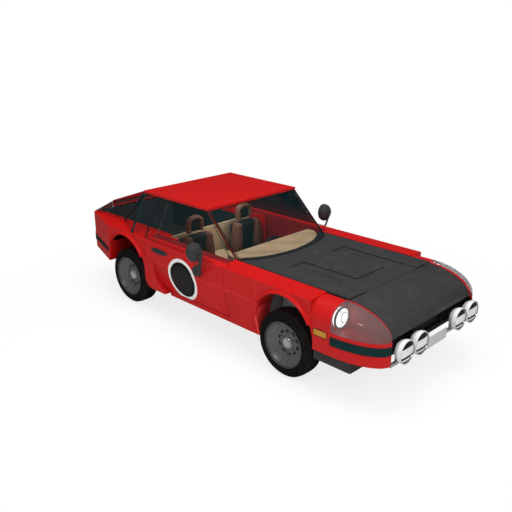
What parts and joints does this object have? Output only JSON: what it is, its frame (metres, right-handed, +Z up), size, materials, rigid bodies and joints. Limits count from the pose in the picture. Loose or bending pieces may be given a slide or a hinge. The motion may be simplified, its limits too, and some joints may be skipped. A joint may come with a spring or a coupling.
{
  "type": "two-seat fastback sports car",
  "caption": "Full-size two-seat fastback sports coupe with opening doors, bonnet and glass tailgate, steered front wheels and free-rolling wheels.",
  "frame": {"origin": "on the ground, midway along the car's length and width", "axes": "+Z up, +X towards the car's left side, -Y towards the nose"},
  "size_m": [2.062, 4.265, 1.256],
  "materials": {
    "red_paint": "gloss",
    "charcoal_paint": "satin",
    "underbody": "matt",
    "clear_glass": "clear",
    "clear_plastic": "clear",
    "dark_plastic": "satin",
    "bumper_rubber": "satin",
    "white_lamp": "gloss",
    "blank_plate": "satin",
    "red_lens": "gloss",
    "steel": "cast",
    "wheel_steel": "satin",
    "tyre": "matt",
    "tan_trim": "satin",
    "seat_leather": "satin"
  },
  "bodies": {
    "root": {"floor_pan": "underbody", "bulkhead": "underbody", "engine_bay": "underbody", "rear_wheelhouses": "underbody", "sills": "red_paint", "front_fenders": "red_paint", "rear_quarters": "red_paint", "nose_panel": "charcoal_paint", "front_bumper": "red_paint", "bumper_strips": "bumper_rubber", "rear_bumper": "bumper_rubber", "headlamp_covers": "clear_plastic", "headlamps": "white_lamp", "auxiliary_lamps": "white_lamp", "grille": "dark_plastic", "number_plates": "blank_plate", "air_dam": "dark_plastic", "tail_panel": "charcoal_paint", "tail_lamps": "red_lens", "roof": "red_paint", "windscreen": "clear_glass", "side_windows": "clear_glass", "engine_block": "steel", "front_crossmember": "steel", "rear_axle": "steel", "exhaust": "steel", "dashboard": "tan_trim", "seats": "seat_leather", "cabin_trim": "tan_trim"},
    "left_door": {"door_left": "red_paint", "door_glass_left": "clear_glass", "mirror_left": "dark_plastic", "door_handle_left": "dark_plastic"},
    "right_door": {"door_right": "red_paint", "door_glass_right": "clear_glass", "mirror_right": "dark_plastic", "door_handle_right": "dark_plastic"},
    "bonnet_lid": {"bonnet": "charcoal_paint"},
    "tailgate_lid": {"tailgate": "red_paint", "tailgate_glass": "clear_glass"},
    "steering_hand_wheel": {"steering_wheel": "dark_plastic"},
    "left_knuckle": {"knuckle_left": "steel"},
    "right_knuckle": {"knuckle_right": "steel"},
    "front_left_wheel": {"rim_front_left": "wheel_steel", "tyre_front_left": "tyre"},
    "front_right_wheel": {"rim_front_right": "wheel_steel", "tyre_front_right": "tyre"},
    "rear_left_wheel": {"rim_rear_left": "wheel_steel", "tyre_rear_left": "tyre"},
    "rear_right_wheel": {"rim_rear_right": "wheel_steel", "tyre_rear_right": "tyre"}
  },
  "joints": [
    {"name": "left_door_hinge", "type": "hinge", "parent": "root", "child": "left_door", "pos_m": [0.8, -0.2945, 0.5], "axis": [0, 0, -1], "range_deg": [0, 65]},
    {"name": "right_door_hinge", "type": "hinge", "parent": "root", "child": "right_door", "pos_m": [-0.8, -0.2945, 0.5], "axis": [0, 0, 1], "range_deg": [0, 65]},
    {"name": "bonnet_hinge", "type": "hinge", "parent": "root", "child": "bonnet_lid", "pos_m": [0, -1.609, 0.838], "axis": [1, 0, 0], "range_deg": [0, 55]},
    {"name": "tailgate_hinge", "type": "hinge", "parent": "root", "child": "tailgate_lid", "pos_m": [0, 1.1305, 1.25], "axis": [1, 0, 0], "range_deg": [0, 60]},
    {"name": "left_steering", "type": "hinge", "parent": "root", "child": "left_knuckle", "pos_m": [0.736, -1.0925, 0.308], "axis": [0, 0, 1], "range_deg": [-28, 28]},
    {"name": "right_steering", "type": "hinge", "parent": "root", "child": "right_knuckle", "pos_m": [-0.736, -1.0925, 0.308], "axis": [0, 0, 1], "range_deg": [-28, 28]},
    {"name": "hand_wheel_turn", "type": "hinge", "parent": "root", "child": "steering_hand_wheel", "pos_m": [0.36, 0.2075, 0.578], "axis": [0, 0.9272, 0.3746], "range_deg": [-420, 420]},
    {"name": "front_left_spin", "type": "hinge", "parent": "left_knuckle", "child": "front_left_wheel", "pos_m": [0.736, -1.0925, 0.308], "axis": [1, 0, 0], "continuous": true},
    {"name": "front_right_spin", "type": "hinge", "parent": "right_knuckle", "child": "front_right_wheel", "pos_m": [-0.736, -1.0925, 0.308], "axis": [1, 0, 0], "continuous": true},
    {"name": "rear_left_spin", "type": "hinge", "parent": "root", "child": "rear_left_wheel", "pos_m": [0.736, 1.2125, 0.308], "axis": [1, 0, 0], "continuous": true},
    {"name": "rear_right_spin", "type": "hinge", "parent": "root", "child": "rear_right_wheel", "pos_m": [-0.736, 1.2125, 0.308], "axis": [1, 0, 0], "continuous": true}
  ],
  "couplings": [
    {"joint": "right_steering", "follows": "left_steering", "ratio": 1},
    {"joint": "hand_wheel_turn", "follows": "left_steering", "ratio": 15}
  ]
}
